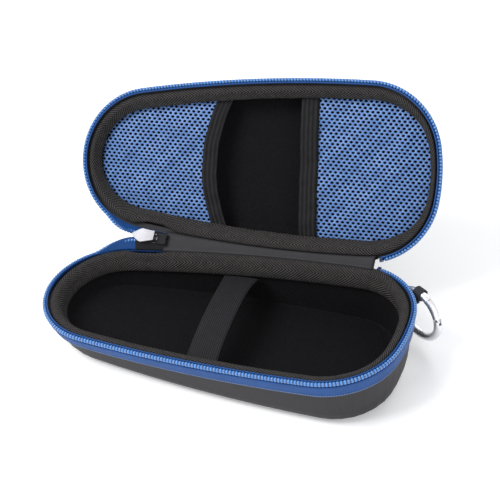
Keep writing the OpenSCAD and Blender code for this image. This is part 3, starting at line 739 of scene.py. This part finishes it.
# strap over the tray
def strap():
    ys = np.linspace(-33.4, 34.0, 71)
    t = (ys - ys[0]) / (ys[-1] - ys[0])
    arch = -9.6 + 6.6 * (4 * t * (1 - t)) ** 0.8
    arch = np.where(t < 0.03, arch - 60 * (0.03 - t), np.where(t > 0.97, arch - 60 * (t - 0.97), arch))
    half = 7.6 + 1.6 * np.clip((t - 0.72) / 0.28, 0, 1) ** 2 + 0.5 * np.clip((0.12 - t) / 0.12, 0, 1)
    cx = -2.6 + 0.8 * np.sin(math.pi * t)
    across = np.linspace(-1, 1, 13)
    top = [np.stack([cx + a * half, ys, arch + 0.25 * (1 - a * a)], 1) for a in across]
    low = [np.stack([cx + a * half, ys, arch - 1.1], 1) for a in across]
    pts = np.stack(top + low[::-1], 1)
    acr = np.concatenate([(across + 1) * 8, (1 - across) * 8 + 16])
    uv = np.stack([np.repeat(ys[:, None], len(acr), 1), np.repeat(acr[None], len(ys), 0)], -1)
    ob = mesh("strap_elastic", base_row(pts), grid_faces(len(ys), pts.shape[1], False, True, True), uv, STRAP)
    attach(ob, "base")
    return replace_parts(ob, "strap", "strap_anchor_rear", "strap_anchor_front")


strap()

for name in ("base_shell", "lid_shell", "base_lining", "lid_lining", "ring_body", "ring_gate", "slider_body",
             "pull_tab", "ring_loop", "zip_tail"):
    smooth_by_angle(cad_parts[name], 32)

# floor, light, camera
pale = Nodes("floor_pale", (0.95, 0.95, 0.955, 1), 0.9, spec=0.1)
pale.p.inputs["Emission Color"].default_value = (1, 1, 1, 1)
pale.p.inputs["Emission Strength"].default_value = 0.18
FLOOR_HALF = 3000
corners = [[x * FLOOR_HALF, y * FLOOR_HALF, 0] for x, y in ((-1, -1), (1, -1), (1, 1), (-1, 1))]
floor = mesh("floor", corners, [(0, 1, 2, 3)], None, pale.m, False)
scene = bpy.context.scene
world = bpy.data.worlds.new("studio")
scene.world = world
world.use_nodes = True
wt = world.node_tree
wt.nodes.clear()
path = wt.nodes.new("ShaderNodeLightPath")
most = wt.nodes.new("ShaderNodeMath")
most.operation = "MAXIMUM"
wt.links.new(path.outputs["Is Camera Ray"], most.inputs[0])
wt.links.new(path.outputs["Is Glossy Ray"], most.inputs[1])
white, soft = wt.nodes.new("ShaderNodeBackground"), wt.nodes.new("ShaderNodeBackground")
white.inputs[0].default_value = (1, 1, 1, 1)
white.inputs[1].default_value = 1.0
soft.inputs[0].default_value = (0.95, 0.97, 1, 1)
soft.inputs[1].default_value = 0.55
mixer, out = wt.nodes.new("ShaderNodeMixShader"), wt.nodes.new("ShaderNodeOutputWorld")
wt.links.new(most.outputs[0], mixer.inputs[0])
wt.links.new(soft.outputs[0], mixer.inputs[1])
wt.links.new(white.outputs[0], mixer.inputs[2])
wt.links.new(mixer.outputs[0], out.inputs[0])


def area(name, pos, target, size, power, colour=(1, 1, 1)):
    data = bpy.data.lights.new(name, "AREA")
    data.size = size
    data.energy = power
    data.color = colour
    ob = bpy.data.objects.new(name, data)
    scene.collection.objects.link(ob)
    d = np.array(target, float) - np.array(pos, float)
    ob.location = pos
    ob.rotation_euler = Vector(d).to_track_quat("-Z", "Y").to_euler()
    return ob


area("key", (-0.7, -0.5, 1.1), (0, 0, 0.03), 0.7, 17)
area("fill", (0.9, -0.8, 0.7), (0, 0, 0.03), 0.9, 6)
area("back", (0.1, 1.1, 0.8), (0, 0.05, 0.05), 0.8, 7)

# camera fitted to the photograph, given in the frame of the base rim: degrees, millimetres and pixels
PICTURE, SENSOR = 500, 36
AZ, EL, ROLL, DIST, FOCAL, U, V = 23.45, 37.98, -9.17, 1172.6, 2461.5, 12.29, 26.72
az, el, rl = (math.radians(v) for v in (AZ, EL, ROLL))
back = np.array([math.sin(az) * math.cos(el), -math.cos(az) * math.cos(el), math.sin(el)])
right = np.array([math.cos(az), math.sin(az), 0])
up = np.cross(back, right)
cr = right * math.cos(rl) + up * math.sin(rl)
cu = -right * math.sin(rl) + up * math.cos(rl)
eye = base_row([cr * U + cu * V + back * DIST])[0] * MM
origin = base_row([[0, 0, 0]])[0]
axes = [base_row([v])[0] - origin for v in (cr, cu, back)]
cam = bpy.data.cameras.new("camera")
cam.sensor_width = SENSOR
cam.lens = FOCAL / PICTURE * SENSOR
cam.clip_end = 10
camera = bpy.data.objects.new("camera", cam)
scene.collection.objects.link(camera)
rows = [[axes[0][i], axes[1][i], axes[2][i], eye[i]] for i in range(3)]
camera.matrix_world = Matrix(rows + [[0, 0, 0, 1]])
scene.camera = camera
scene.render.engine = "CYCLES"
scene.cycles.samples = 96
scene.render.resolution_x = scene.render.resolution_y = PICTURE
scene.view_settings.view_transform = "Standard"
